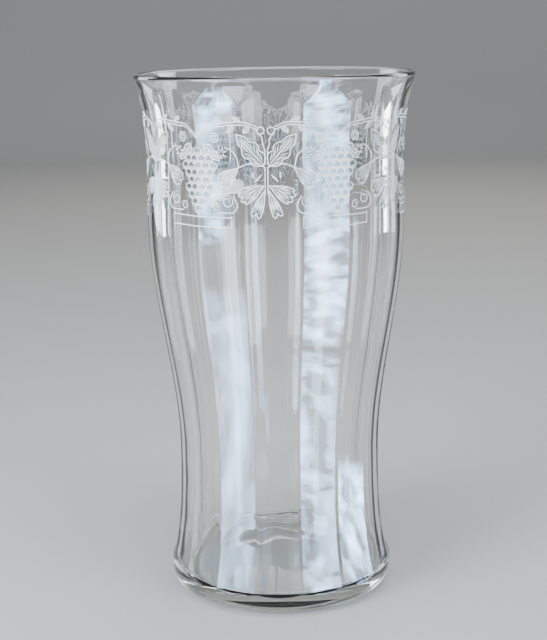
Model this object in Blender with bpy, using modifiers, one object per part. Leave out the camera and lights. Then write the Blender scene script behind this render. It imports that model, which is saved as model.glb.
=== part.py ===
"""A drinking glass of one pint, waisted, with sixteen flat panels round it and a flared round rim.

The glass is a single piece. It stands on the plane Z = 0 with its axis on the Z axis, and a panel faces -Y.
A turned body gives the rim, the inside, the foot ring and the underside, and a sixteen-sided body trims its
outside into panels. Lengths are in metres.
"""

import math

import bmesh
import bpy

MM = 0.001

# Overall
HEIGHT = 155.0 * MM
RIM_RADIUS = 40.6 * MM
LIP_RADIUS = 0.85 * MM
RIM_FLARE = 0.40  # how far the wall leans out at the rim, per unit of height

# Panels. Radii run to the middle of a flat.
PANELS = 16
FOOT_CREASE = (7.2 * MM, 33.3 * MM, -0.25)  # height, radius and slope where the panels meet the foot ring
WAIST = (44.0 * MM, 30.1 * MM, 0.0)
BELLY = (113.0 * MM, 37.4 * MM, 0.0)
NECK = (129.0 * MM, 37.15 * MM, 0.0)
PANEL_FADE_HEIGHT = 147.0 * MM  # above this the ridges between the panels sink into the round rim
LEDGE = 3.0 * MM

# Foot and underside
FOOT_RADIUS = 34.1 * MM
FOOT_EDGE_RADIUS = 3.9 * MM
RESTING_RING_INNER_RADIUS = 26.2 * MM
UNDERSIDE_RECESS = 0.9 * MM

# Inside
BASE_THICKNESS = 5.6 * MM
INSIDE_CORNER_RADIUS = 1.4 * MM
INSIDE_FOOT_RADIUS = 31.1 * MM
INSIDE_FOOT_SLOPE = -0.22
INSIDE_WAIST = (44.0 * MM, 27.9 * MM, 0.0)
INSIDE_BELLY = (113.0 * MM, 35.65 * MM, 0.0)
INSIDE_NECK = (129.0 * MM, 35.45 * MM, 0.0)

# Fineness
ROUND_STEPS = 64
QUARTER_STEPS = 3
CORNER_STEPS = 5
FADE_STEPS = 5
RECESS_STEPS = 4
WALL_STEP = 7.0 * MM
MERGE_DISTANCE = 0.01 * MM
SMOOTH_ANGLE = math.radians(15.0)

RIDGE_SWELL = 1.0 / math.cos(math.pi / PANELS)  # radius at a ridge over the radius at the middle of a flat
TRIM_ALLOWANCE = 0.15 * MM
TRIMMER_REACH = 6.0 * MM


def lip_centre():
    return RIM_RADIUS - LIP_RADIUS, HEIGHT - LIP_RADIUS


def lip_point(angle):
    centre_radius, centre_height = lip_centre()
    return centre_radius + LIP_RADIUS * math.cos(angle), centre_height + LIP_RADIUS * math.sin(angle)


def wall_top(outer):
    """The station where the wall runs into the lip, as height, radius and slope."""
    lean = math.atan(RIM_FLARE)
    radius, height = lip_point(-lean if outer else math.pi - lean)
    return height, radius, RIM_FLARE


def smooth_radius(height, stations):
    """Radius at a height on the smooth curve through stations of (height, radius, slope)."""
    pairs = list(zip(stations, stations[1:]))
    low, high = next((pair for pair in pairs if height <= pair[1][0]), pairs[-1])
    rise = high[0] - low[0]
    t = (height - low[0]) / rise
    from_low = low[1] * (2 * t**3 - 3 * t**2 + 1) + rise * low[2] * (t**3 - 2 * t**2 + t)
    from_high = high[1] * (3 * t**2 - 2 * t**3) + rise * high[2] * (t**3 - t**2)
    return from_low + from_high


def inside_foot():
    """The station where the inside of the wall runs into the corner round the inner bottom."""
    lean = math.atan(-INSIDE_FOOT_SLOPE)
    height = BASE_THICKNESS + INSIDE_CORNER_RADIUS * (1.0 + math.sin(lean))
    return height, INSIDE_FOOT_RADIUS, INSIDE_FOOT_SLOPE


def panel_radius(height):
    return smooth_radius(height, [FOOT_CREASE, WAIST, BELLY, NECK, wall_top(outer=True)])


def inside_radius(height):
    return smooth_radius(height, [inside_foot(), INSIDE_WAIST, INSIDE_BELLY, INSIDE_NECK, wall_top(outer=False)])


def round_radius(height):
    """Outer radius of the turned body: outside the ridges on the wall, and down to the flats at the rim."""
    top = wall_top(outer=True)[0]
    fade = max(0.0, (height - PANEL_FADE_HEIGHT) / (top - PANEL_FADE_HEIGHT))
    clear_of_ridges = panel_radius(height) * RIDGE_SWELL + TRIM_ALLOWANCE
    return clear_of_ridges + (panel_radius(height) - clear_of_ridges) * math.sin(fade * math.pi / 2)


def heights_between(low, high):
    """Evenly spaced heights from low to high, both left out."""
    count = math.ceil((high - low) / WALL_STEP)
    return [low + (high - low) * step / count for step in range(1, count)]


def arc(centre_radius, centre_height, radius, start, end, steps):
    """Points (radius, height) along an arc, both ends included."""
    angles = [start + (end - start) * step / steps for step in range(steps + 1)]
    return [(centre_radius + radius * math.cos(a), centre_height + radius * math.sin(a)) for a in angles]


def inside_profile():
    """From the middle of the inner bottom up to the lip."""
    lean = math.atan(-INSIDE_FOOT_SLOPE)
    corner_radius = INSIDE_FOOT_RADIUS - INSIDE_CORNER_RADIUS * math.cos(lean)
    corner_height = BASE_THICKNESS + INSIDE_CORNER_RADIUS
    corner = arc(corner_radius, corner_height, INSIDE_CORNER_RADIUS, -math.pi / 2, lean, CORNER_STEPS)
    wall = [(inside_radius(h), h) for h in heights_between(inside_foot()[0], wall_top(outer=False)[0])]
    return [(0.0, BASE_THICKNESS)] + corner + wall


def lip_profile():
    """From the inside of the wall over the rim to its outside."""
    lean = math.atan(RIM_FLARE)
    inner_quarter = arc(*lip_centre(), LIP_RADIUS, math.pi - lean, math.pi / 2, QUARTER_STEPS)
    outer_quarter = arc(*lip_centre(), LIP_RADIUS, math.pi / 2, 0.0, QUARTER_STEPS)
    return inner_quarter + outer_quarter[1:] + [lip_point(-lean)]


def outside_profile():
    """From the lip down to the foot edge."""
    top = wall_top(outer=True)[0]
    fading = [PANEL_FADE_HEIGHT + (top - PANEL_FADE_HEIGHT) * step / FADE_STEPS for step in range(FADE_STEPS)]
    heights = heights_between(FOOT_CREASE[0], PANEL_FADE_HEIGHT) + fading
    wall = [(round_radius(h), h) for h in reversed(heights)]
    return wall + [(FOOT_RADIUS, FOOT_CREASE[0])]


def foot_profile():
    """From the foot edge over the resting ring and up the shallow dome under the base to the axis."""
    edge_centre = FOOT_RADIUS - FOOT_EDGE_RADIUS
    edge = arc(edge_centre, FOOT_EDGE_RADIUS, FOOT_EDGE_RADIUS, 0.0, -math.pi / 2, CORNER_STEPS)
    shares = [1.0 - step / RECESS_STEPS for step in range(RECESS_STEPS + 1)]
    dome = [(RESTING_RING_INNER_RADIUS * s, UNDERSIDE_RECESS * (1.0 - s**2)) for s in shares]
    return edge + dome


def turned_profile():
    return inside_profile() + lip_profile() + outside_profile() + foot_profile()


def panel_trimmer_profile():
    """Ridge radii of the sixteen-sided body, wide open above the rim and round the foot ring."""
    wide = RIM_RADIUS + TRIMMER_REACH
    top = HEIGHT + TRIMMER_REACH
    heights = [FOOT_CREASE[0]] + heights_between(FOOT_CREASE[0], HEIGHT) + [HEIGHT, top]
    panels = [(panel_radius(h) * RIDGE_SWELL, h) for h in reversed(heights)]
    crease_radius = panels[-1][0]
    ledge = [(crease_radius + LEDGE, FOOT_CREASE[0] - LEDGE), (wide, FOOT_CREASE[0] - LEDGE)]
    return [(0.0, top)] + panels + ledge + [(wide, -TRIMMER_REACH), (0.0, -TRIMMER_REACH)]


def turned_object(name, profile, steps, collection):
    """A closed body made by turning an outline of (radius, height) points about the Z axis."""
    mesh = bpy.data.meshes.new(name)
    outline = bmesh.new()
    points = [outline.verts.new((radius, 0.0, height)) for radius, height in profile]
    for start, end in zip(points, points[1:]):
        outline.edges.new((start, end))
    outline.to_mesh(mesh)
    outline.free()
    turned = bpy.data.objects.new(name, mesh)
    collection.objects.link(turned)
    screw = turned.modifiers.new("turn", "SCREW")
    screw.axis = "Z"
    screw.steps = steps
    screw.render_steps = steps
    screw.use_merge_vertices = True
    screw.merge_threshold = MERGE_DISTANCE
    screw.use_smooth_shade = True
    return turned


def glass_material():
    material = bpy.data.materials.new("clear_glass")
    material.use_nodes = True
    shader = material.node_tree.nodes["Principled BSDF"]
    shader.inputs["Base Color"].default_value = (0.93, 0.95, 0.97, 1.0)
    shader.inputs["Metallic"].default_value = 0.0
    shader.inputs["Roughness"].default_value = 0.03
    shader.inputs["IOR"].default_value = 1.52
    shader.inputs["Transmission Weight"].default_value = 1.0
    return material


def new_collection(name):
    collection = bpy.data.collections.new(name)
    bpy.context.scene.collection.children.link(collection)
    return collection


def panel_trimmer(collection):
    trimmer = turned_object("panel_trimmer", panel_trimmer_profile(), PANELS, collection)
    trimmer.rotation_euler.z = math.pi / PANELS
    trimmer.hide_render = True
    trimmer.display_type = "WIRE"
    return trimmer


def glass_body(parts, cutters):
    body = turned_object("glass_body", turned_profile(), ROUND_STEPS, parts)
    trim = body.modifiers.new("trim_panels", "BOOLEAN")
    trim.operation = "INTERSECT"
    trim.solver = "EXACT"
    trim.object = panel_trimmer(cutters)
    return body


def apply_modifiers(obj):
    """Keep the shape that the modifiers make, shaded smooth except at the ridges and creases."""
    graph = bpy.context.evaluated_depsgraph_get()
    mesh = bpy.data.meshes.new_from_object(obj.evaluated_get(graph))
    obj.modifiers.clear()
    obj.data = mesh
    mesh.shade_smooth()
    mesh.set_sharp_from_angle(angle=SMOOTH_ANGLE)
    mesh.materials.clear()
    mesh.materials.append(glass_material())


def build():
    for obj in list(bpy.data.objects):
        bpy.data.objects.remove(obj)
    parts = new_collection("waisted_pint_glass")
    cutters = new_collection("cutters")
    apply_modifiers(glass_body(parts, cutters))


build()
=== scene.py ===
# A waisted pint glass in clear, slightly uneven old glass, with an etched grapevine band, on a studio floor.
import math
import random

import bpy
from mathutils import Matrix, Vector, geometry

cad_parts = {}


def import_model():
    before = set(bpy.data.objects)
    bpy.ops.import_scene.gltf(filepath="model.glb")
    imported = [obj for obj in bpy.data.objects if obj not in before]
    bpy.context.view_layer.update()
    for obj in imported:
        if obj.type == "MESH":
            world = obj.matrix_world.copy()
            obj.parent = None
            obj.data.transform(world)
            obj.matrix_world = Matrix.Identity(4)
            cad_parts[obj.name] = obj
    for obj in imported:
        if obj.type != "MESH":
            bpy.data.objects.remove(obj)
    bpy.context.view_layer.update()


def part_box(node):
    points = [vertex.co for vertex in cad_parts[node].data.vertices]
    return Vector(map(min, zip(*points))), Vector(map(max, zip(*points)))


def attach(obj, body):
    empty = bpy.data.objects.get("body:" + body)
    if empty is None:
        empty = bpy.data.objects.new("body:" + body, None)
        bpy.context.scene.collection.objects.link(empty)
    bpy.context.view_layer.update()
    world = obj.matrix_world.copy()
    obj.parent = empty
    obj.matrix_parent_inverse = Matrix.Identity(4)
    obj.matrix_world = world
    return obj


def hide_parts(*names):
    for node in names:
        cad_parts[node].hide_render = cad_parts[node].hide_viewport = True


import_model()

MM = 0.001

# Overall: the height and the rim come from the box of the CAD node that the piece replaces
NODE = "glass_body"
PIECE = "glass_body_fine"
LOW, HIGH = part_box(NODE)
HEIGHT = HIGH.z - LOW.z
RIM_RADIUS = (HIGH.x - LOW.x) / 2
LIP_RADIUS = 0.85 * MM
RIM_FLARE = 0.40  # how far the wall leans out at the rim, per unit of height
RIM_LEAN = math.atan(RIM_FLARE)

# Panels: stations of height, radius to the middle of a flat, and slope
PANELS = 16
PANEL_PITCH = 2 * math.pi / PANELS
FOOT_CREASE = (7.2 * MM, 33.3 * MM, -0.25)
WAIST = (44.0 * MM, 30.1 * MM, 0.0)
BELLY = (113.0 * MM, 37.4 * MM, 0.0)
NECK = (129.0 * MM, 37.15 * MM, 0.0)
PANEL_FADE_HEIGHT = 147.0 * MM  # above this the ridges between the panels sink into the round rim
RIDGE_SWELL = 1.0 / math.cos(math.pi / PANELS)  # radius at a ridge over the radius at the middle of a flat
RIDGE_CLEARANCE = 0.15 * MM  # how far outside the ridges their limit runs, below the fade
RIDGE_ROUNDING = 0.25 * MM  # difference in radius within which one flat eases into the next
FADE_ROUNDING = 0.10 * MM  # the same where the flats ease into the round rim

# Foot and underside
FOOT_RADIUS = 34.05 * MM
FOOT_EDGE_RADIUS = 3.85 * MM
RESTING_RING_INNER_RADIUS = 26.2 * MM
UNDERSIDE_RECESS = 0.9 * MM
RING_EDGE_SHARE = 0.01  # how far the rows stand off the resting ring's inner edge, as a share of its radius
CREASE_SOFTNESS = 0.12 * MM  # how far the rows stand off the foot's creases

# Inside
BASE_THICKNESS = 5.6 * MM
INSIDE_CORNER_RADIUS = 1.4 * MM
INSIDE_FOOT_RADIUS = 31.1 * MM
INSIDE_FOOT_SLOPE = -0.22
INSIDE_FOOT_LEAN = math.atan(-INSIDE_FOOT_SLOPE)
INSIDE_WAIST = (44.0 * MM, 27.9 * MM, 0.0)
INSIDE_BELLY = (113.0 * MM, 35.65 * MM, 0.0)
INSIDE_NECK = (129.0 * MM, 35.45 * MM, 0.0)

# Unevenness of old glass: heights of its waves, and seeds, which are tiny bubbles in it
OUTSIDE_WAVE = 0.014 * MM
OUTSIDE_RIPPLE = 0.006 * MM
INSIDE_WAVE = 0.045 * MM
INSIDE_RIPPLE = 0.11 * MM
RIPPLE_REACH = 26.0 * MM  # the height over which the ripples inside fall to about a third
RANDOM_START = 16  # where the random draws start
SEEDS = 16
SEED_RADII = (0.07 * MM, 0.20 * MM)
SEED_STRETCH = (1.0, 2.2)
SEED_HEIGHTS_IN_BASE_MM = (4.0, 7.0)
SEED_HEIGHTS_IN_WALL_MM = (20.0, 110.0)
SEED_PLACES_IN_BASE = (0.2, 0.85)  # as shares of the radius where the panels meet the foot

# Fineness: columns go round the glass, and rows or steps follow its outline
COLUMNS = 288
COLUMN = 2 * math.pi / COLUMNS
DOME_STEPS = 6
FOOT_EDGE_STEPS = 8
ROWS_UNDER_BAND = 43
ROWS_OVER_BAND = 10
LIP_STEPS = 10
INSIDE_ROWS = 44
INSIDE_CORNER_STEPS = 8
INSIDE_BOTTOM_SHARES = (0.75, 0.5, 0.25)
BUBBLE_TURNS = 8
BUBBLE_LEVELS = 5
PROBE = 0.02 * MM  # how far to each side a normal is measured

# Etched band
BAND_LOW = 114.0 * MM
REPEATS = 6
COPIES = 2 * REPEATS  # of half a repeat, every other one mirrored
HALF_COLUMNS = COLUMNS // COPIES
BOUQUET_COLUMN = -2  # the column under the middle of the front bouquet
ETCH_LINE_DEPTH = 0.05 * MM
FROST_DEPTH = 0.025 * MM

# The band's motif, drawn in millimetres on the flattened wall
BAND_HEIGHT_MM = 31.0
HALF_REPEAT_MM = 19.6
BAND_ROW_MM = 1.72
EDGE_TOLERANCE_MM = 1e-3
MERGE_DISTANCE_MM = 1e-4
CONVEX_TRIANGLES = 0  # what delaunay_2d_cdt gives: triangles out to the convex outline
LINE_WIDTH = 0.27
BOLD_WIDTH = LINE_WIDTH * 1.6
FINE_WIDTH = LINE_WIDTH * 0.8
STEPS_PER_LOBE = 6
LOBE_DEPTH = 0.32  # as a share of the leaf's half width
GRAPE_RADIUS = 1.15
GRAPE_PITCH = 2.30
GRAPE_DROP = 1.95  # from one row of grapes to the next
CLUSTER_TOP = 21.4
CLUSTER_ROWS = (3, 4, 5, 4, 3, 4, 3, 2, 1)

# Finishes, as places in the piece's list of materials
CLEAR, FROST, LINE, WORN = 0, 1, 2, 3


# ---- Outline of the glass ----

def smooth_radius(height, stations):
    """Radius at a height on the smooth curve through stations of (height, radius, slope)."""
    pairs = list(zip(stations, stations[1:]))
    low, high = next((pair for pair in pairs if height <= pair[1][0]), pairs[-1])
    rise = high[0] - low[0]
    t = (height - low[0]) / rise
    from_low = low[1] * (2 * t**3 - 3 * t**2 + 1) + rise * low[2] * (t**3 - 2 * t**2 + t)
    from_high = high[1] * (3 * t**2 - 2 * t**3) + rise * high[2] * (t**3 - t**2)
    return from_low + from_high


def lip_point(angle):
    """Radius and height on the round lip, at an angle above the outward level."""
    radius = RIM_RADIUS - LIP_RADIUS + LIP_RADIUS * math.cos(angle)
    return radius, HEIGHT - LIP_RADIUS + LIP_RADIUS * math.sin(angle)


def wall_top(outer):
    """The station where the wall runs into the lip."""
    radius, height = lip_point(-RIM_LEAN if outer else math.pi - RIM_LEAN)
    return height, radius, RIM_FLARE


def panel_radius(height):
    """Radius to the middle of a flat."""
    return smooth_radius(height, [FOOT_CREASE, WAIST, BELLY, NECK, wall_top(outer=True)])


def inside_foot():
    """The station where the inside of the wall runs into the corner round the inner bottom."""
    height = BASE_THICKNESS + INSIDE_CORNER_RADIUS * (1.0 + math.sin(INSIDE_FOOT_LEAN))
    return height, INSIDE_FOOT_RADIUS, INSIDE_FOOT_SLOPE


def inside_radius(height):
    stations = [inside_foot(), INSIDE_WAIST, INSIDE_BELLY, INSIDE_NECK, wall_top(outer=False)]
    return smooth_radius(height, stations)


def soft_least(first, second, rounding):
    """The lesser of two lengths, eased where they are nearly equal."""
    near = max(rounding - abs(first - second), 0.0) / rounding
    return min(first, second) - near * near * rounding / 4


def ridge_limit(height):
    """Radius that the ridges can't pass: outside them on the wall, down to the flats at the rim."""
    top = wall_top(outer=True)[0]
    fade = min(1.0, max(0.0, (height - PANEL_FADE_HEIGHT) / (top - PANEL_FADE_HEIGHT)))
    clear = panel_radius(height) * RIDGE_SWELL + RIDGE_CLEARANCE
    return clear + (panel_radius(height) - clear) * math.sin(fade * math.pi / 2)


def flat_radius(angle, flat):
    """Radius of the sixteen-sided outline with eased ridges, where flat is the radius to a flat's middle."""
    off_middle = abs(angle - PANEL_PITCH * round(angle / PANEL_PITCH))
    beside = flat / math.cos(PANEL_PITCH - off_middle)
    return soft_least(flat / math.cos(off_middle), beside, RIDGE_ROUNDING)


def outside_wave(angle, height):
    """How far the outside stands off its outline: three slow slanting waves and a fine ripple."""
    up = height / MM
    waves = math.sin(3 * angle + up / 17) + math.sin(7 * angle - up / 12 + 1.0)
    waves += math.sin(up / 6.5 + 2 * angle)
    ripples = math.sin(up / 1.6 + 5 * angle) * math.sin(up / 5.3 - 9 * angle + 0.8)
    return OUTSIDE_WAVE * waves + OUTSIDE_RIPPLE * ripples


def inside_wave(angle, height):
    """How far the inside stands off its outline: slanting waves, and ripples that die away upwards."""
    up = height / MM
    slow = math.sin(2 * angle + up / 19 + 0.6) + math.sin(5 * angle - up / 14 + 2.0)
    quick = 0.35 * math.sin(11 * angle + up / 8) + 0.25 * math.sin(up / 4.3 - 3 * angle)
    ripples = math.sin(up / 1.9 + 4 * angle + math.sin(6 * angle)) * math.exp(-height / RIPPLE_REACH)
    return INSIDE_WAVE * (slow + quick) + INSIDE_RIPPLE * ripples


def placed(angle, radius, height):
    """The point at an angle round from -Y towards +X."""
    return Vector((radius * math.sin(angle), -radius * math.cos(angle), height))


def outside_point(angle, height):
    panels = flat_radius(angle, panel_radius(height)) + outside_wave(angle, height)
    return placed(angle, soft_least(panels, ridge_limit(height), FADE_ROUNDING), height)


def inside_point(angle, height):
    return placed(angle, inside_radius(height) + inside_wave(angle, height), height)


def normal_of(surface, angle, height, outward):
    """The surface's normal, from points a little to each side."""
    turn = PROBE / RIM_RADIUS
    across = surface(angle + turn, height) - surface(angle - turn, height)
    up = surface(angle, height + PROBE) - surface(angle, height - PROBE)
    normal = across.cross(up).normalized()
    return normal if outward else -normal


# ---- Etched motif: across from the middle of a bouquet, and up from the foot of the band ----

class Drawing:
    """Polygons of frosted areas, and of etched strokes with their middle lines."""

    def __init__(self):
        self.areas = []
        self.strokes = []

    def area(self, points):
        self.areas.append(points)

    def stroke(self, points, width, taper=False):
        """A strip of the given width along the points, thinner at its ends if it tapers."""
        left, right = [], []
        last = len(points) - 1
        for index, (across, up) in enumerate(points):
            before, after = points[max(index - 1, 0)], points[min(index + 1, last)]
            run, rise = after[0] - before[0], after[1] - before[1]
            length = math.hypot(run, rise)
            half = width / 2
            if taper:
                half *= max(0.25, 1 - abs(2 * index / last - 1) ** 3)
            left.append((across - rise / length * half, up + run / length * half))
            right.append((across + rise / length * half, up - run / length * half))
        self.strokes.append((right + left[::-1], points))


def polar(centre, radius, degrees):
    """The point at a distance from centre, at an angle round from across towards up."""
    angle = math.radians(degrees)
    return centre[0] + radius * math.cos(angle), centre[1] + radius * math.sin(angle)


def arc(centre, radius, start, end, steps):
    """Points along an arc, both ends included, with its angles in degrees."""
    return [polar(centre, radius, start + (end - start) * step / steps) for step in range(steps + 1)]


def straight(start, end, steps):
    """Points along a straight line, both ends included."""
    run, rise = end[0] - start[0], end[1] - start[1]
    return [(start[0] + run * step / steps, start[1] + rise * step / steps) for step in range(steps + 1)]


def curve(points, steps_each):
    """A smooth line through the points."""
    ends = [points[0]] + list(points) + [points[-1]]
    line = []
    for four in zip(ends, ends[1:], ends[2:], ends[3:]):
        for step in range(steps_each):
            t = step / steps_each
            line.append(tuple(
                b + ((c - a) * t + (2 * a - 5 * b + 4 * c - d) * t**2 + (3 * b - a - 3 * c + d) * t**3) / 2
                for a, b, c, d in zip(*four)
            ))
    return line + [points[-1]]


def spiral(centre, start_radius, end_radius, start, turns, steps):
    """Points along a spiral that starts at an angle in degrees."""
    growth = end_radius - start_radius
    return [
        polar(centre, start_radius + growth * step / steps, start + 360 * turns * step / steps)
        for step in range(steps + 1)
    ]


def along(base, tip, forward, sideways):
    """The point at a share of the way from base to tip, set off to the left by a distance."""
    run, rise = tip[0] - base[0], tip[1] - base[1]
    length = math.hypot(run, rise)
    across = base[0] + run * forward - rise / length * sideways
    return across, base[1] + rise * forward + run / length * sideways


def leaf(drawing, base, tip, half_width, lobes, veins, line=LINE_WIDTH):
    """A lobed leaf with a midrib and slanting veins in pairs. Its places are shares of its length."""
    steps = STEPS_PER_LOBE * lobes
    midrib_end, midrib_steps = 0.9, 4
    first_root, roots_spread, vein_run = 0.06, 0.70, 0.22
    vein_reach, vein_bend = 0.80, 0.55

    def half_at(share):
        """Half the width, widest in the half towards the base and cut in between the lobes."""
        swell = math.sin(math.pi * share**0.72) ** 0.75 if 0 < share < 1 else 0.0
        return half_width * swell * (1 - LOBE_DEPTH * math.cos(math.pi * lobes * share) ** 4)

    left = [along(base, tip, s / steps, half_at(s / steps)) for s in range(steps + 1)]
    right = [along(base, tip, s / steps, -half_at(s / steps)) for s in range(steps + 1)]
    drawing.area(right + left[-2:0:-1])
    drawing.stroke(left, line)
    drawing.stroke(right, line)
    midrib = [along(base, tip, s / midrib_steps * midrib_end, 0.0) for s in range(midrib_steps + 1)]
    drawing.stroke(midrib, line * 1.3, taper=True)
    for vein in range(veins):
        root = first_root + roots_spread * vein / veins
        end = root + vein_run
        for side in (-1, 1):
            start = along(base, tip, root + 0.03, side * line * 1.4)
            reach = side * half_at(end) * vein_reach
            middle = along(base, tip, (root + end) / 2, reach * vein_bend)
            drawing.stroke([start, middle, along(base, tip, end, reach)], line * 0.9, taper=True)


def hatched_fan(drawing, root, radius, start, end, lobes, ribs):
    """A fan leaf from a root, with a wavy edge, and hatching that stops short of it."""
    steps = STEPS_PER_LOBE * lobes
    rib_starts, rib_end, rib_steps = (0.12, 0.58, 0.38), 0.88, 2

    def edge_at(share):
        """Distance from the root to the edge, shorter at both sides of the fan and between the lobes."""
        wave = abs(math.sin(math.pi * lobes * share)) ** 0.7
        ends = min(1.0, 0.62 + 1.9 * min(share, 1 - share))
        return radius * ends * (1 - LOBE_DEPTH / 2 + LOBE_DEPTH / 2 * wave)

    edge = [polar(root, edge_at(s / steps), start + (end - start) * s / steps) for s in range(steps + 1)]
    drawing.area([root] + edge)
    half = steps // 2
    drawing.stroke([root] + edge[: half + 1], LINE_WIDTH)
    drawing.stroke(edge[half:] + [root], LINE_WIDTH)
    for rib in range(1, ribs + 1):
        share = rib / (ribs + 1)
        angle = start + (end - start) * share
        inner = rib_starts[rib % 3]
        reaches = [inner + (rib_end - inner) * s / rib_steps for s in range(rib_steps + 1)]
        hatch = [polar(root, edge_at(share) * reach, angle) for reach in reaches]
        drawing.stroke(hatch, LINE_WIDTH, taper=True)


def grape(drawing, centre, radius):
    """A grape as a ring, with arcs inside it like ripples."""
    drawing.area(arc(centre, radius, 0, 324, 9))  # a tenth step would put the last point on the first
    drawing.stroke(arc(centre, radius, -90, 90, 5), FINE_WIDTH)
    drawing.stroke(arc(centre, radius, 90, 270, 5), FINE_WIDTH)
    for share in (0.62, 0.28):  # of the radius
        middle = centre[0], centre[1] - radius * (1 - share) * 0.25
        drawing.stroke(arc(middle, radius * share, 185, 355, 4), LINE_WIDTH * 0.65)


def grape_cluster(drawing, axis, top):
    """A hanging bunch that narrows to one grape, drawn on the near side of its axis only."""
    for row, count in enumerate(CLUSTER_ROWS):
        for place in range(count):
            across = axis + (place - (count - 1) / 2) * GRAPE_PITCH
            if across < axis + GRAPE_RADIUS / 4:
                grape(drawing, (across, top - row * GRAPE_DROP), GRAPE_RADIUS)


def bouquet(drawing):
    """Half of the upright stem with its leaf, small bracts, hatched leaves below and tendrils above."""
    half, foot, head, stem_side = 0.34, 10.6, 21.4, 0.36
    drawing.area([(-half, foot), (half, foot), (half, head), (-half, head)])
    drawing.stroke(straight((stem_side, 10.4), (stem_side, 17.6), 7), LINE_WIDTH)
    drawing.stroke(straight((stem_side, 18.2), (stem_side, 22.2), 4), LINE_WIDTH)
    leaf(drawing, (0.7, 18.0), (7.9, 26.2), half_width=2.5, lobes=3, veins=8)
    hatched_fan(drawing, (0.7, 12.6), radius=7.4, start=-54, end=-2, lobes=4, ribs=10)
    hatched_fan(drawing, (0.5, 11.4), radius=7.7, start=-86, end=-54, lobes=2, ribs=7)
    drawing.stroke(straight((1.2, 15.6), (3.2, 13.6), 3), BOLD_WIDTH, taper=True)
    drawing.stroke(straight((3.6, 16.4), (3.7, 14.6), 3), BOLD_WIDTH, taper=True)
    drawing.stroke(curve([(0.5, 17.6), (3.0, 18.5), (5.6, 18.2), (7.4, 17.4)], 5), LINE_WIDTH)
    drawing.stroke(curve([(0.4, 22.2), (0.9, 23.8), (1.0, 25.2), (2.0, 26.4)], 4), LINE_WIDTH)
    ringlet(drawing, (1.35, 27.2), 0.95)


def ringlet(drawing, centre, radius):
    """A ring, as two halves."""
    drawing.stroke(arc(centre, radius, 0, 180, 7), LINE_WIDTH)
    drawing.stroke(arc(centre, radius, 180, 360, 7), LINE_WIDTH)


def side_spray(drawing):
    """The broad hatched leaf beside the bouquet, with a rosette and rings above it and scrolls below."""
    root, rosette, rings = (7.5, 17.3), (12.6, 21.2), (14.4, 25.2)
    petals = 7
    hatched_fan(drawing, root, radius=7.2, start=-66, end=-12, lobes=4, ribs=10)
    drawing.stroke(curve([root, (8.0, 20.2), (9.6, 22.0), (11.4, 22.6)], 5), LINE_WIDTH)
    for petal in range(petals):
        angle = 360 / petals * petal + 12
        start, end = polar(rosette, 0.55, angle), polar(rosette, 1.65, angle)
        drawing.stroke(straight(start, end, 3), LINE_WIDTH * 1.5, taper=True)
    for radius in (1.25, 0.62):
        ringlet(drawing, rings, radius)
    for scroll in (
        spiral((10.9, 8.2), start_radius=1.9, end_radius=0.5, start=60, turns=1.5, steps=16),
        spiral((14.3, 6.6), start_radius=1.4, end_radius=0.4, start=200, turns=-1.4, steps=13),
    ):
        drawing.stroke(scroll, LINE_WIDTH, taper=True)
    drawing.stroke(curve([(9.2, 9.8), (8.0, 7.4), (9.0, 5.4), (11.6, 5.2), (13.8, 5.3)], 5), LINE_WIDTH)


def garland(drawing, axis):
    """The double vine that arches to the grapes, with its leaflets, and the leaf beside the grapes."""
    vine = [(2.3, 27.4), (5.4, 28.6), (9.0, 28.6), (12.4, 28.2), (15.8, 27.9), (18.0, 26.4)]
    vine.append((axis + 0.7, 24.4))
    for rise in (0.0, 0.75):
        drawing.stroke(curve([(across, up + rise) for across, up in vine], 4), LINE_WIDTH)
    leaflets = [
        ((4.4, 28.0), (6.0, 26.6)),
        ((8.6, 28.2), (10.6, 26.6)),
        ((6.6, 29.6), (8.8, 30.6)),
        ((11.6, 29.2), (13.8, 30.5)),
    ]
    for base, tip in leaflets:
        leaf(drawing, base, tip, half_width=0.62, lobes=1, veins=2, line=LINE_WIDTH * 0.85)
    leaf(drawing, (17.6, 23.3), (13.0, 19.0), half_width=1.35, lobes=2, veins=4)


def ruled_frame(drawing, axis):
    """The thin frame behind the grapes, with its double foot line."""
    left, right = 9.7, axis + 0.6
    upper, lower = 3.9, 1.2
    drawing.stroke(straight((left, upper), (right, upper), 12), LINE_WIDTH)
    drawing.stroke(straight((left - 0.2, lower), (right, lower), 12), LINE_WIDTH)
    drawing.stroke(straight((left, 1.5), (left, 4.4), 3), FINE_WIDTH)
    drawing.stroke(straight((left, 18.8), (left, 26.6), 6), FINE_WIDTH)


def half_repeat():
    """Half of one repeat, from the middle of a bouquet to the middle of a grape cluster."""
    drawing = Drawing()
    bouquet(drawing)
    side_spray(drawing)
    garland(drawing, HALF_REPEAT_MM)
    ruled_frame(drawing, HALF_REPEAT_MM)
    grape_cluster(drawing, HALF_REPEAT_MM, CLUSTER_TOP)
    return drawing


def counter_clockwise(points):
    """The outline, turned round if its signed area is negative."""
    area = sum(a[0] * b[1] - b[0] * a[1] for a, b in zip(points, points[1:] + points[:1]))
    return points if area > 0 else points[::-1]


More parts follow.
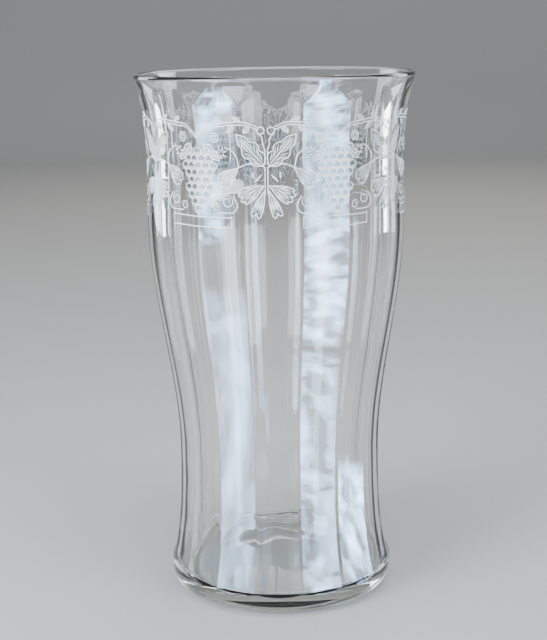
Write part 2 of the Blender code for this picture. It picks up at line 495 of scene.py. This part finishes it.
def triangulated_half():
    """Flat points, triangles and their finish for half a repeat, cut along every etched outline."""
    points, edges, faces, finishes = [], [], [], []

    def put(outline):
        first = len(points)
        points.extend(outline)
        return list(range(first, first + len(outline)))

    drawing = half_repeat()
    for outline in drawing.areas:
        faces.append(put(counter_clockwise(outline)))
        finishes.append(FROST)
    for outline, middle in drawing.strokes:
        faces.append(put(counter_clockwise(outline)))
        finishes.append(LINE)
        spine = put(middle)
        edges.extend(zip(spine, spine[1:]))
    across = [HALF_REPEAT_MM * column / HALF_COLUMNS for column in range(HALF_COLUMNS + 1)]
    rows = round(BAND_HEIGHT_MM / BAND_ROW_MM)
    border = [(a, 0.0) for a in across] + [(a, BAND_HEIGHT_MM) for a in reversed(across)]
    ring = put(border)
    edges.extend(zip(ring, ring[1:] + ring[:1]))
    put([(a, BAND_HEIGHT_MM * row / rows) for row in range(1, rows) for a in across])
    vectors = [Vector(point) for point in points]
    cut = geometry.delaunay_2d_cdt(vectors, edges, faces, CONVEX_TRIANGLES, MERGE_DISTANCE_MM)
    out_points, _, out_faces, _, _, owners = cut
    kept, finish = [], []
    for face, owner in zip(out_faces, owners):
        middle = sum((out_points[i] for i in face), Vector((0.0, 0.0))) / len(face)
        if 0 < middle.x < HALF_REPEAT_MM and 0 < middle.y < BAND_HEIGHT_MM:
            kept.append(list(face))
            finish.append(max((finishes[i] for i in owner), default=CLEAR))
    return out_points, kept, finish


# ---- Skin of the glass ----

class Skin:
    """Vertices with their normals, and faces with their finish."""

    def __init__(self):
        self.points = []
        self.normals = []
        self.faces = []
        self.finishes = []

    def vertex(self, point, normal):
        self.points.append(point)
        self.normals.append(normal)
        return len(self.points) - 1

    def face(self, corners, finish=CLEAR):
        self.faces.append(corners)
        self.finishes.append(finish)

    def ring(self, surface_point):
        """A row of vertices all the way round, from a function of the angle that gives point and normal."""
        return [self.vertex(*surface_point(COLUMN * column)) for column in range(COLUMNS)]

    def join(self, first, second, finish=CLEAR):
        """Faces between two rows, facing out where the second row is above the first on the outside."""
        for column in range(COLUMNS):
            beside = (column + 1) % COLUMNS
            self.face((first[column], first[beside], second[beside], second[column]), finish)

    def close(self, row, point, normal, facing_up):
        """A fan from a row to its middle."""
        middle = self.vertex(point, normal)
        for column in range(COLUMNS):
            beside = (column + 1) % COLUMNS
            corners = (row[column], row[beside], middle)
            self.face(corners if facing_up else corners[::-1])


def turned_normal(angle, out, up):
    """A normal that leans out and up by the given parts."""
    length = math.hypot(out, up)
    return Vector((out * math.sin(angle), -out * math.cos(angle), up)) / length


def turned_ring(skin, radius, height, out, up):
    """A round row, with normals that lean out and up by the given parts."""
    return skin.ring(lambda angle: (placed(angle, radius, height), turned_normal(angle, out, up)))


def wall_ring(skin, surface, height, outward):
    """A row on a surface that is a function of angle and height."""
    return skin.ring(lambda angle: (surface(angle, height), normal_of(surface, angle, height, outward)))


def ledge_foot_height(angle):
    """Height where the sloping ledge under a panel meets the round foot."""
    return FOOT_CREASE[0] - (FOOT_RADIUS - flat_radius(angle, FOOT_CREASE[1]))


def underside_rows(skin):
    """From the middle of the domed underside out over the resting ring and up the foot's edge."""

    def dome_ring(share):
        slope = -2 * UNDERSIDE_RECESS * share / RESTING_RING_INNER_RADIUS
        height = UNDERSIDE_RECESS * (1 - share**2)
        return turned_ring(skin, RESTING_RING_INNER_RADIUS * share, height, slope, -1.0)

    rows = [dome_ring(step / DOME_STEPS * (1 - RING_EDGE_SHARE)) for step in range(1, DOME_STEPS + 1)]
    skin.close(rows[0], Vector((0.0, 0.0, UNDERSIDE_RECESS)), Vector((0.0, 0.0, -1.0)), facing_up=False)
    edge_centre = FOOT_RADIUS - FOOT_EDGE_RADIUS
    for radius in (RESTING_RING_INNER_RADIUS * (1 + RING_EDGE_SHARE), edge_centre - CREASE_SOFTNESS):
        rows.append(turned_ring(skin, radius, 0.0, 0.0, -1.0))
    for step in range(FOOT_EDGE_STEPS + 1):
        turn = math.pi / 2 * step / FOOT_EDGE_STEPS
        out, up = math.sin(turn), -math.cos(turn)
        radius = edge_centre + FOOT_EDGE_RADIUS * out
        rows.append(turned_ring(skin, radius, FOOT_EDGE_RADIUS * (1 + up), out, up))
    return rows


def ledge_rows(skin):
    """From the top of the foot's edge over the scalloped edge of the ledge to the panels' feet."""
    inset = CREASE_SOFTNESS

    def under_edge(angle):
        return placed(angle, FOOT_RADIUS, ledge_foot_height(angle) - inset), turned_normal(angle, 1.0, 0.0)

    def over_edge(angle):
        height = ledge_foot_height(angle) + inset
        return placed(angle, FOOT_RADIUS - inset, height), turned_normal(angle, 1.0, 1.0)

    def in_crease(angle):
        radius = flat_radius(angle, FOOT_CREASE[1]) + inset / 2
        return placed(angle, radius, FOOT_CREASE[0] - inset / 2), turned_normal(angle, 1.0, 1.0)

    return [skin.ring(under_edge), skin.ring(over_edge), skin.ring(in_crease)]


def spaced(first, last, steps):
    """Heights from first to last, both included."""
    return [first + (last - first) * step / steps for step in range(steps + 1)]


def panel_rows(skin, low, high, steps):
    return [wall_ring(skin, outside_point, height, outward=True) for height in spaced(low, high, steps)]


def lip_rows(skin):
    """From the outside over the rim to the inside."""
    rows = []
    for step in range(LIP_STEPS + 1):
        angle = -RIM_LEAN + math.pi * step / LIP_STEPS
        radius, height = lip_point(angle)
        rows.append(turned_ring(skin, radius, height, math.cos(angle), math.sin(angle)))
    return rows


def inside_rows(skin):
    """From under the lip down the inside, round the corner and in towards the middle of the inner bottom."""
    top = wall_top(outer=False)[0]
    heights = spaced(top - LIP_RADIUS, inside_foot()[0] + LIP_RADIUS, INSIDE_ROWS)
    rows = [wall_ring(skin, inside_point, height, outward=False) for height in heights]
    lean = INSIDE_FOOT_LEAN
    corner_radius = INSIDE_FOOT_RADIUS - INSIDE_CORNER_RADIUS * math.cos(lean)
    corner_height = BASE_THICKNESS + INSIDE_CORNER_RADIUS
    for step in range(INSIDE_CORNER_STEPS + 1):
        turn = (lean + math.pi / 2) * step / INSIDE_CORNER_STEPS - lean
        out, up = math.cos(turn), -math.sin(turn)
        radius = corner_radius + INSIDE_CORNER_RADIUS * out
        height = corner_height + INSIDE_CORNER_RADIUS * up
        rows.append(turned_ring(skin, radius, height, -out, -up))
    for share in INSIDE_BOTTOM_SHARES:
        rows.append(turned_ring(skin, corner_radius * share, BASE_THICKNESS, 0.0, 1.0))
    return rows


def etch_depth(finishes):
    """How deep a vertex is cut, from the finishes of the triangles round it."""
    if not finishes or CLEAR in finishes:
        return 0.0
    return ETCH_LINE_DEPTH if LINE in finishes else FROST_DEPTH


def band_mesh(skin, low_row, high_row):
    """The etched band between two rows, from copies of half a repeat."""
    flat, triangles, finish = triangulated_half()
    around = [[] for _ in flat]
    for corners, kind in zip(triangles, finish):
        for corner in corners:
            around[corner].append(kind)
    edge = EDGE_TOLERANCE_MM
    made = {}

    def vertex(copy, index):
        """The vertex of a copy, shared with the copy beside it and with the rows above and below."""
        mirrored = copy % 2 == 1
        point = flat[index]
        column = point.x / HALF_REPEAT_MM * HALF_COLUMNS
        past_copy = HALF_COLUMNS * (copy + 1) - column if mirrored else HALF_COLUMNS * copy + column
        turned = BOUQUET_COLUMN + past_copy
        if point.y < edge or point.y > BAND_HEIGHT_MM - edge:
            row = low_row if point.y < edge else high_row
            return row[round(turned) % COLUMNS]
        if mirrored and point.x < edge:
            key = ((copy + 1) % COPIES, index)
        elif mirrored and point.x > HALF_REPEAT_MM - edge:
            key = (copy - 1, index)
        else:
            key = (copy, index)
        if key not in made:
            angle, height = COLUMN * turned, BAND_LOW + point.y * MM
            normal = normal_of(outside_point, angle, height, outward=True)
            depth = etch_depth(around[index])
            made[key] = skin.vertex(outside_point(angle, height) - normal * depth, normal)
        return made[key]

    for copy in range(COPIES):
        for corners, kind in zip(triangles, finish):
            found = [vertex(copy, corner) for corner in corners]
            skin.face(tuple(found[::-1] if copy % 2 else found), kind)


def seed_bubbles(skin):
    """Tiny sealed bubbles in the wall and the base, stretched along the wall."""
    draw = random.Random(RANDOM_START)
    for _ in range(SEEDS):
        angle = draw.uniform(0.0, 2 * math.pi)
        heights = draw.uniform(*SEED_HEIGHTS_IN_BASE_MM), draw.uniform(*SEED_HEIGHTS_IN_WALL_MM)
        height = draw.choice(heights) * MM
        size = draw.uniform(*SEED_RADII)
        if height < BASE_THICKNESS:
            radius = draw.uniform(*SEED_PLACES_IN_BASE) * FOOT_CREASE[1]
        else:
            radius = (panel_radius(height) + inside_radius(height)) / 2
        centre = placed(angle, radius, height)
        bubble(skin, centre, size, size * draw.uniform(*SEED_STRETCH))


def bubble(skin, centre, radius, half_height):
    """A small ellipsoid whose faces point into it, so that it is a hole in the glass."""
    rows = []
    for level in range(1, BUBBLE_LEVELS):
        lift = math.pi * level / BUBBLE_LEVELS - math.pi / 2
        level_out = math.cos(lift)
        row = []
        for turn in range(BUBBLE_TURNS):
            around = 2 * math.pi * turn / BUBBLE_TURNS
            out = Vector((level_out * math.cos(around), level_out * math.sin(around), math.sin(lift)))
            point = centre + Vector((out.x * radius, out.y * radius, out.z * half_height))
            normal = Vector((out.x / radius, out.y / radius, out.z / half_height)).normalized()
            row.append(skin.vertex(point, -normal))
        rows.append(row)
    foot = skin.vertex(centre - Vector((0.0, 0.0, half_height)), Vector((0.0, 0.0, 1.0)))
    head = skin.vertex(centre + Vector((0.0, 0.0, half_height)), Vector((0.0, 0.0, -1.0)))
    for turn in range(BUBBLE_TURNS):
        beside = (turn + 1) % BUBBLE_TURNS
        skin.face((foot, rows[0][turn], rows[0][beside]))
        skin.face((head, rows[-1][beside], rows[-1][turn]))
        for low, high in zip(rows, rows[1:]):
            skin.face((low[turn], high[turn], high[beside], low[beside]))


def glass_skin():
    """The whole skin: up the outside to the band, the band, over the rim, down the inside, and bubbles."""
    skin = Skin()
    lower = underside_rows(skin) + ledge_rows(skin)
    lower += panel_rows(skin, FOOT_CREASE[0] + CREASE_SOFTNESS / 2, BAND_LOW, ROWS_UNDER_BAND)
    top = wall_top(outer=True)[0]
    band_high = BAND_LOW + BAND_HEIGHT_MM * MM
    upper = panel_rows(skin, band_high, top - LIP_RADIUS / 2, ROWS_OVER_BAND)
    band_mesh(skin, lower[-1], upper[0])
    upper += lip_rows(skin) + inside_rows(skin)
    for run in (lower, upper):
        for step, (first, second) in enumerate(zip(run, run[1:])):
            on_resting_ring = run is lower and step == DOME_STEPS
            skin.join(first, second, WORN if on_resting_ring else CLEAR)
    skin.close(upper[-1], Vector((0.0, 0.0, BASE_THICKNESS)), Vector((0.0, 0.0, 1.0)), facing_up=True)
    seed_bubbles(skin)
    return skin


def linked(name, data):
    """A new object in the scene."""
    made = bpy.data.objects.new(name, data)
    bpy.context.scene.collection.objects.link(made)
    return made


def glass_object(skin, materials):
    """The glass, shaded smooth by the skin's own normals apart from the etched lines, whose facets show."""
    mesh = bpy.data.meshes.new(PIECE)
    mesh.from_pydata(skin.points, [], skin.faces)
    for material in materials:
        mesh.materials.append(material)
    mesh.polygons.foreach_set("material_index", skin.finishes)
    mesh.shade_smooth()
    normals = []
    for polygon, finish in zip(mesh.polygons, skin.finishes):
        for corner in polygon.vertices:
            normals.append(polygon.normal.copy() if finish == LINE else skin.normals[corner])
    mesh.normals_split_custom_set(normals)
    return linked(PIECE, mesh)


# ---- Materials ----

GLASS_IOR = 1.52
GLASS_TINT = (0.72, 0.78, 0.62, 1.0)
GLASS_TINT_DENSITY = 11.0  # per metre of glass
SKIN_FEATURES = 110.0  # per metre
SKIN_BUMP = (0.25, 0.05 * MM)  # strength and distance
GRAIN_FEATURES = 2500.0  # per metre
GRAIN_BUMP = (0.35, 0.02 * MM)
GRAIN_SHADE = 0.86  # the dark part of the grain, as a share of the tint
GRAIN_CONTRAST = (0.35, 0.65)  # the noise values that give the dark and the light part


def new_material(name):
    material = bpy.data.materials.new(name)
    material.use_nodes = True
    return material, material.node_tree, material.node_tree.nodes["Principled BSDF"]


def set_sockets(shader, **values):
    for name, value in values.items():
        shader.inputs[name.replace("_", " ")].default_value = value


def noise(tree, where, scale, detail):
    """Noise over the coordinates where, with scale features to a unit of each of them."""
    sizing = tree.nodes.new("ShaderNodeMapping")
    sizing.inputs["Scale"].default_value = scale
    texture = tree.nodes.new("ShaderNodeTexNoise")
    texture.inputs["Scale"].default_value = 1.0
    texture.inputs["Detail"].default_value = detail
    tree.links.new(where, sizing.inputs["Vector"])
    tree.links.new(sizing.outputs["Vector"], texture.inputs["Vector"])
    return texture.outputs["Fac"]


def surface_noise(tree, features, detail):
    """Noise over the object's own coordinates, in features per metre."""
    where = tree.nodes.new("ShaderNodeTexCoord").outputs["Object"]
    return noise(tree, where, (features, features, features), detail)


def remap(tree, value, source, result=(0.0, 1.0)):
    """The value, moved from the range source to the range result and held inside it."""
    node = tree.nodes.new("ShaderNodeMapRange")
    names = ("From Min", "From Max", "To Min", "To Max")
    for name, number in zip(names, (*source, *result)):
        node.inputs[name].default_value = number
    tree.links.new(value, node.inputs["Value"])
    return node.outputs["Result"]


def add_bump(tree, shader, height, strength, distance):
    bump = tree.nodes.new("ShaderNodeBump")
    bump.inputs["Strength"].default_value = strength
    bump.inputs["Distance"].default_value = distance
    tree.links.new(height, bump.inputs["Height"])
    tree.links.new(bump.outputs["Normal"], shader.inputs["Normal"])


def absorb_in_glass(tree):
    """The faint yellow-green tint of old glass, which shows where the glass is thick."""
    absorb = tree.nodes.new("ShaderNodeVolumeAbsorption")
    absorb.inputs["Color"].default_value = GLASS_TINT
    absorb.inputs["Density"].default_value = GLASS_TINT_DENSITY
    tree.links.new(absorb.outputs["Volume"], tree.nodes["Material Output"].inputs["Volume"])


def clear_glass():
    """Fire-polished glass, with a skin that is faintly uneven."""
    material, tree, shader = new_material("clear_glass")
    set_sockets(shader, Base_Color=(1.0, 1.0, 1.0, 1.0), Roughness=0.0)
    set_sockets(shader, IOR=GLASS_IOR, Transmission_Weight=1.0)
    add_bump(tree, shader, surface_noise(tree, SKIN_FEATURES, detail=2.0), *SKIN_BUMP)
    absorb_in_glass(tree)
    return material


def frosted_glass(name, tint, roughness, transmission):
    """Etched or worn glass with a fine grain."""
    material, tree, shader = new_material(name)
    set_sockets(shader, IOR=GLASS_IOR, Transmission_Weight=transmission, Roughness=roughness)
    grain = surface_noise(tree, GRAIN_FEATURES, detail=6.0)
    shades = tree.nodes.new("ShaderNodeMix")
    shades.data_type = "RGBA"
    dark = tuple(c * GRAIN_SHADE for c in tint)
    shades.inputs["A"].default_value = (*dark, 1.0)
    shades.inputs["B"].default_value = (*tint, 1.0)
    tree.links.new(remap(tree, grain, GRAIN_CONTRAST), shades.inputs["Factor"])
    tree.links.new(shades.outputs["Result"], shader.inputs["Base Color"])
    add_bump(tree, shader, grain, *GRAIN_BUMP)
    absorb_in_glass(tree)
    return material


def matte(name, color):
    """A surface with no gloss, for the floor."""
    material, _, shader = new_material(name)
    set_sockets(shader, Roughness=1.0, Specular_IOR_Level=0.0, Base_Color=(*color, 1.0))
    return material


# ---- Stage: lengths in metres and angles in degrees ----

FLOOR_COLOR = (0.38, 0.375, 0.365)
FLOOR_GAP = 0.03 * MM  # between the floor and the glass
FLOOR_HALF_WIDTH = 3.0
FLOOR_FRONT = -3.0
FLOOR_BACK = 0.6
BACKDROP_START = 1.2
BACKDROP_BEND = 0.5
BACKDROP_STEPS = 16
BACKDROP_TOP = 3.0

CAMERA_AZIMUTH = 1.25
CAMERA_DISTANCE = 2.367  # from the axis, level, in heights of the glass
CAMERA_HEIGHT = 1.086  # above the foot, in heights of the glass
CAMERA_PITCH = 13.36
CAMERA_ROLL = 0.85
CAMERA_CLIP = 0.01
LENS = 70.1  # this and the sensor are in millimetres
SENSOR = 36.0

WORLD_COLOR = (0.55, 0.57, 0.60, 1.0)
WORLD_STRENGTH = 1.05
COOL = (0.80, 0.89, 1.0)
BLUE = (0.42, 0.66, 1.0)
WARM = (1.0, 0.93, 0.84)
SOFTBOX_TARGET = Vector((0.0, 0.0, 0.08))
CARD_REACH = 0.090  # how far a light card stands from the panel that mirrors it
CLOUD_NOISE = (0.40, 0.64)  # the noise values where a card is dimmest and brightest
CLOUD_STRENGTH = (0.15, 1.9)


def camera():
    data = bpy.data.cameras.new("camera")
    data.lens = LENS
    data.sensor_width = SENSOR
    data.clip_start = CAMERA_CLIP
    view = linked("camera", data)
    turn = math.radians(CAMERA_AZIMUTH)
    view.location = placed(turn, CAMERA_DISTANCE * HEIGHT, CAMERA_HEIGHT * HEIGHT)
    view.rotation_mode = "XYZ"
    view.rotation_euler = (math.radians(90 - CAMERA_PITCH), math.radians(CAMERA_ROLL), turn)
    bpy.context.scene.camera = view


def floor():
    """A floor that curves up into a backdrop."""
    outline = [(FLOOR_FRONT, -FLOOR_GAP), (FLOOR_BACK, -FLOOR_GAP)]
    for step in range(BACKDROP_STEPS + 1):
        turn = math.pi / 2 * step / BACKDROP_STEPS
        rise = BACKDROP_BEND * (1 - math.cos(turn))
        outline.append((BACKDROP_START + BACKDROP_BEND * math.sin(turn), rise - FLOOR_GAP))
    outline.append((BACKDROP_START + BACKDROP_BEND, BACKDROP_TOP))
    points = [(side * FLOOR_HALF_WIDTH, y, z) for y, z in outline for side in (-1, 1)]
    faces = [(2 * i, 2 * i + 1, 2 * i + 3, 2 * i + 2) for i in range(len(outline) - 1)]
    mesh = bpy.data.meshes.new("floor")
    mesh.from_pydata(points, [], faces)
    mesh.shade_smooth()
    mesh.materials.append(matte("floor", FLOOR_COLOR))
    linked("floor", mesh)


def area_light(name, size, power, color):
    """A rectangular light that the camera doesn't see."""
    data = bpy.data.lights.new(name, "AREA")
    data.shape = "RECTANGLE"
    data.size, data.size_y = size
    data.energy = power
    data.color = color
    light = linked(name, data)
    light.rotation_mode = "QUATERNION"
    light.visible_camera = False
    return light


def softbox(name, azimuth, elevation, distance, size, power, color):
    """A soft light round the glass, turned towards its middle."""
    light = area_light(name, size, power, color)
    turn, lift = math.radians(azimuth), math.radians(elevation)
    light.location = SOFTBOX_TARGET + placed(turn, distance * math.cos(lift), distance * math.sin(lift))
    light.rotation_quaternion = (SOFTBOX_TARGET - light.location).to_track_quat("-Z", "Y")
    return light


def node_math(tree, operation, first, second):
    """A maths node on an output and a number, or on two outputs."""
    node = tree.nodes.new("ShaderNodeMath")
    node.operation = operation
    tree.links.new(first, node.inputs[0])
    if isinstance(second, float):
        node.inputs[1].default_value = second
    else:
        tree.links.new(second, node.inputs[1])
    return node.outputs["Value"]


def cloudy(data, clouds, softness):
    """Gives an area light soft edges and a cloudy brightness, like a window seen in old glass."""
    data.use_nodes = True
    tree = data.node_tree
    place = tree.nodes.new("ShaderNodeNewGeometry").outputs["Parametric"]
    strength = remap(tree, noise(tree, place, (*clouds, 1.0), detail=4.0), CLOUD_NOISE, CLOUD_STRENGTH)
    split = tree.nodes.new("ShaderNodeSeparateXYZ")
    tree.links.new(place, split.inputs["Vector"])
    for axis, ramp_share in zip("XY", softness):
        from_edge = node_math(tree, "PINGPONG", split.outputs[axis], 0.5)
        strength = node_math(tree, "MULTIPLY", strength, remap(tree, from_edge, (0.0, ramp_share)))
    tree.links.new(strength, tree.nodes["Emission"].inputs["Strength"])


def light_card(name, panel, sides, heights, radiance, clouds, softness, reach=CARD_REACH):
    """A strip light that stands where a panel, counted from the front to the right, mirrors it to the camera.

    Sides and heights say where the strip starts and ends, across the mirrored direction and above the foot.
    Clouds says how many cloudy patches lie across and up it, and softness what share fades at each edge.
    """
    turn = panel * PANEL_PITCH
    here = placed(turn, WAIST[1], 0.0)
    eye = bpy.context.scene.camera.location
    view = Vector((eye.x - here.x, eye.y - here.y, 0.0)).normalized()
    facing = placed(turn, 1.0, 0.0)
    mirrored = 2 * facing.dot(view) * facing - view
    across = Vector((-mirrored.y, mirrored.x, 0.0))
    width, height = sides[1] - sides[0], heights[1] - heights[0]
    card = area_light(name, (width, height), radiance * math.pi * width * height, BLUE)
    cloudy(card.data, clouds, softness)
    middle = Vector((0.0, 0.0, sum(heights) / 2))
    card.location = here + reach * mirrored + across * sum(sides) / 2 + middle
    card.rotation_quaternion = (-mirrored).to_track_quat("-Z", "Y")
    card.visible_diffuse = False


def world():
    made = bpy.data.worlds.new("studio")
    made.use_nodes = True
    background = made.node_tree.nodes["Background"]
    background.inputs["Color"].default_value = WORLD_COLOR
    background.inputs["Strength"].default_value = WORLD_STRENGTH
    bpy.context.scene.world = made


def softboxes():
    """The soft lights of the studio. The last two light nothing matte, and only draw edges in the glass."""
    softbox("window", -50.0, 14.0, distance=0.55, size=(0.3, 0.3), power=7.5, color=COOL)
    softbox("window_right", 48.0, 14.0, distance=0.60, size=(0.3, 0.3), power=4.0, color=COOL)
    softbox("overhead", 10.0, 80.0, distance=0.6, size=(0.40, 0.25), power=4.0, color=COOL)
    softbox("back", 165.0, 42.0, distance=1.1, size=(0.8, 0.5), power=5.0, color=WARM)
    rims = [
        softbox("rim_left", -128.0, 12.0, distance=0.6, size=(0.22, 0.5), power=2.6, color=COOL),
        softbox("rim_right", 122.0, 12.0, distance=0.6, size=(0.22, 0.5), power=3.4, color=COOL),
    ]
    for rim in rims:
        rim.visible_diffuse = False


def light_cards():
    """The bright streaks that the photograph shows in the front panels."""
    light_card(
        "card_right", panel=1, sides=(-0.011, 0.011), heights=(0.028, 0.130),
        radiance=52.0, clouds=(2.0, 12.0), softness=(0.15, 0.04),
    )
    light_card(
        "card_right_low", panel=1, sides=(-0.012, 0.011), heights=(-0.012, 0.027),
        radiance=36.0, clouds=(2.5, 11.0), softness=(0.15, 0.10),
    )
    light_card(
        "card_left", panel=-1, sides=(-0.015, 0.014), heights=(-0.030, 0.066),
        radiance=20.0, clouds=(3.0, 6.0), softness=(0.2, 0.2),
    )
    light_card(
        "streak_left", panel=-1, sides=(-0.010, 0.002), heights=(-0.030, 0.056),
        radiance=90.0, clouds=(1.5, 5.0), softness=(0.4, 0.2),
    )
    light_card(
        "card_foot", panel=2, sides=(-0.010, 0.007), heights=(0.001, 0.032),
        radiance=50.0, clouds=(5.0, 5.0), softness=(0.2, 0.25), reach=0.033,
    )
    light_card(
        "card_band", panel=-1, sides=(-0.012, 0.006), heights=(0.092, 0.126),
        radiance=46.0, clouds=(3.0, 4.0), softness=(0.3, 0.2),
    )


def main():
    skin = glass_skin()
    materials = [
        clear_glass(),
        frosted_glass("frosted_areas", (0.95, 0.97, 1.0), roughness=0.22, transmission=0.91),
        frosted_glass("etched_lines", (0.97, 0.985, 1.0), roughness=0.55, transmission=0.05),
        frosted_glass("worn_resting_ring", (0.97, 0.98, 0.98), roughness=0.32, transmission=0.97),
    ]
    glass = glass_object(skin, materials)
    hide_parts(NODE)
    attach(glass, "root")
    floor()
    camera()
    world()
    softboxes()
    light_cards()


main()
